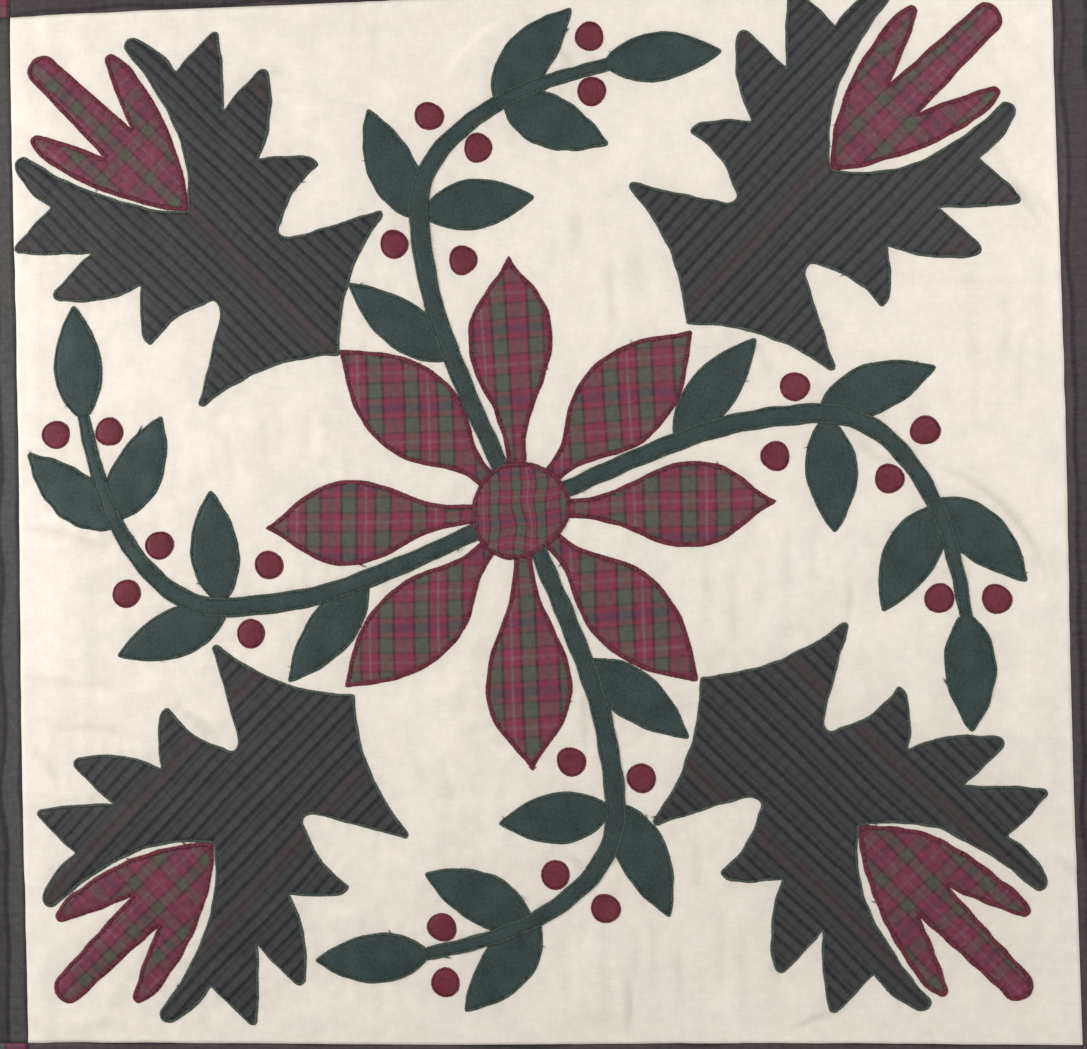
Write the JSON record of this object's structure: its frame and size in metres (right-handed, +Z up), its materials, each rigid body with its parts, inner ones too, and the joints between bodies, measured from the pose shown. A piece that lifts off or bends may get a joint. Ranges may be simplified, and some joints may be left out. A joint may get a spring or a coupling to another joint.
{
  "type": "throw quilt",
  "caption": "Square appliqué throw quilt lying flat: cream ground with a plaid flower, berry vines and serrated leaves holding tulips, dark plaid strips, corner squares and binding.",
  "frame": {"origin": "middle of the flat underside", "axes": "+Z up out of the face, +X to the right and +Y to the top of the block as it is seen face up"},
  "size_m": [0.782, 0.782, 0.0064],
  "materials": {
    "cream_cotton": "plain weave cotton, washed and slightly puckered",
    "dark_plaid": "brushed cotton plaid, charcoal green with navy and maroon stripes",
    "red_plaid": "cotton plaid, burgundy with grey green checks",
    "green_cotton": "plain dark green cotton",
    "berry_cotton": "plain dark red cotton"
  },
  "bodies": {
    "root": {"ground_block": "cream_cotton", "strip_n": "dark_plaid", "strip_w": "dark_plaid", "strip_s": "dark_plaid", "strip_e": "dark_plaid", "corner_ne": "red_plaid", "corner_nw": "red_plaid", "corner_sw": "red_plaid", "corner_se": "red_plaid", "binding_n": "dark_plaid", "binding_w": "dark_plaid", "binding_s": "dark_plaid", "binding_e": "dark_plaid", "flower_centre": "red_plaid", "petal_e": "red_plaid", "petal_ne": "red_plaid", "petal_n": "red_plaid", "petal_nw": "red_plaid", "petal_w": "red_plaid", "petal_sw": "red_plaid", "petal_s": "red_plaid", "petal_se": "red_plaid", "vine_n": "green_cotton", "vine_w": "green_cotton", "vine_s": "green_cotton", "vine_e": "green_cotton", "berry_n_1": "berry_cotton", "berry_n_2": "berry_cotton", "berry_n_3": "berry_cotton", "berry_n_4": "berry_cotton", "berry_n_5": "berry_cotton", "berry_n_6": "berry_cotton", "berry_w_1": "berry_cotton", "berry_w_2": "berry_cotton", "berry_w_3": "berry_cotton", "berry_w_4": "berry_cotton", "berry_w_5": "berry_cotton", "berry_w_6": "berry_cotton", "berry_s_1": "berry_cotton", "berry_s_2": "berry_cotton", "berry_s_3": "berry_cotton", "berry_s_4": "berry_cotton", "berry_s_5": "berry_cotton", "berry_s_6": "berry_cotton", "berry_e_1": "berry_cotton", "berry_e_2": "berry_cotton", "berry_e_3": "berry_cotton", "berry_e_4": "berry_cotton", "berry_e_5": "berry_cotton", "berry_e_6": "berry_cotton", "big_leaf_ne": "dark_plaid", "big_leaf_nw": "dark_plaid", "big_leaf_sw": "dark_plaid", "big_leaf_se": "dark_plaid", "tulip_ne": "red_plaid", "tulip_nw": "red_plaid", "tulip_sw": "red_plaid", "tulip_se": "red_plaid"}
  },
  "joints": []
}
